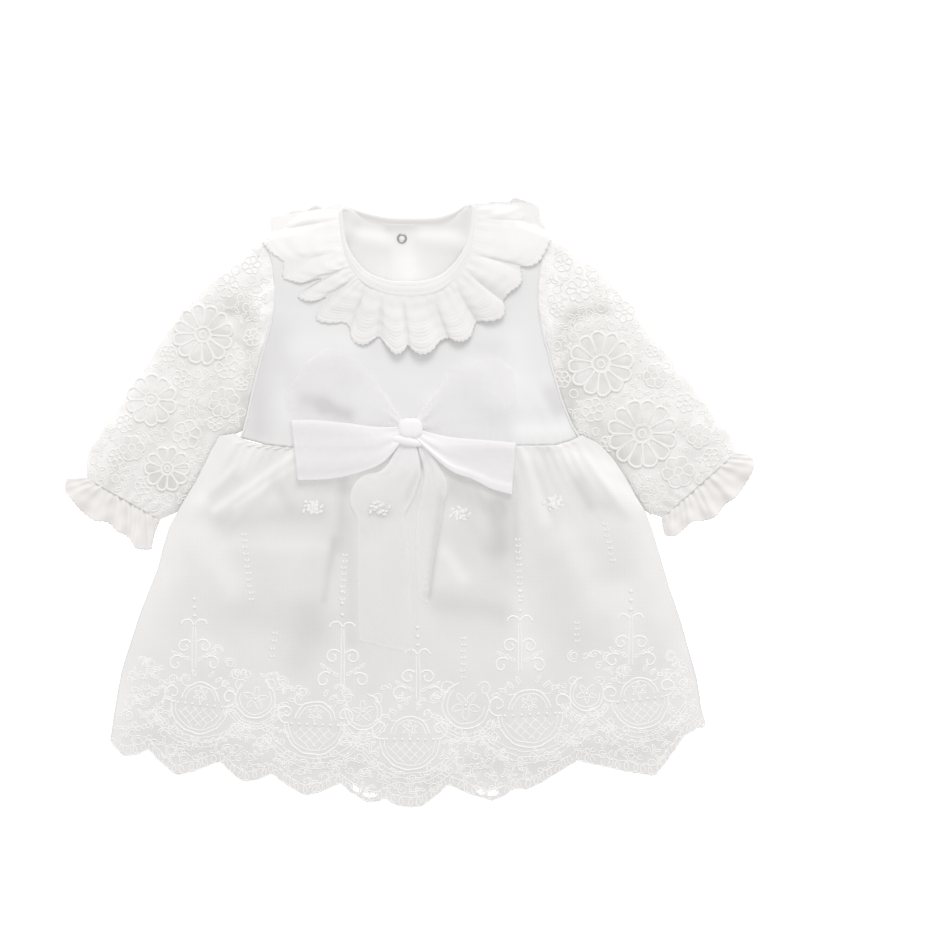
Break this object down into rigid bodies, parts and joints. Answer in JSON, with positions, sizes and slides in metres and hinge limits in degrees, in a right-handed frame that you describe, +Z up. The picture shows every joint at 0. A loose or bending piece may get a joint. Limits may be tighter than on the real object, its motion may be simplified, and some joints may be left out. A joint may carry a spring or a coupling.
{
  "type": "christening gown",
  "caption": "Baby's white christening gown laid flat, with lace sleeves, ruffled collar and cuffs, an organza waist bow and a scalloped embroidered net skirt.",
  "frame": {"origin": "centre of the bounding box in plan, at the height of the surface the gown lies on", "axes": "+Z up from the surface, +Y towards the neck, +X towards the sleeve on the right as seen from above"},
  "size_m": [0.5311, 0.471, 0.0115],
  "materials": {
    "cotton": "matt white cotton lawn",
    "net": "fine white tulle with white embroidery",
    "lace": "white corded lace on an opaque ground",
    "trim": "white embroidered scalloped cotton trim",
    "organza": "crisp sheer white organza",
    "snap": "light grey ring snap"
  },
  "bodies": {
    "root": {"bodice_front": "cotton", "bodice_back": "cotton", "placket": "cotton", "neck_binding": "cotton", "lining_front": "cotton", "skirt_front": "net", "skirt_back": "net", "sleeve_left": "lace", "sleeve_right": "lace", "flower_right_1": "lace", "flower_right_2": "lace", "flower_right_3": "lace", "flower_right_4": "lace", "flower_right_5": "lace", "flower_left_6": "lace", "flower_left_7": "lace", "flower_left_8": "lace", "flower_left_9": "lace", "flower_left_10": "lace", "collar_front": "trim", "collar_back_left": "trim", "collar_back_right": "trim", "cuff_ruffle_left": "trim", "cuff_ruffle_right": "trim", "bow_loop_upper_left": "organza", "bow_loop_upper_right": "organza", "bow_loop_lower_left": "organza", "bow_loop_lower_right": "organza", "bow_tail_left": "organza", "bow_tail_right": "organza", "bow_knot": "organza", "snap": "snap"}
  },
  "joints": []
}
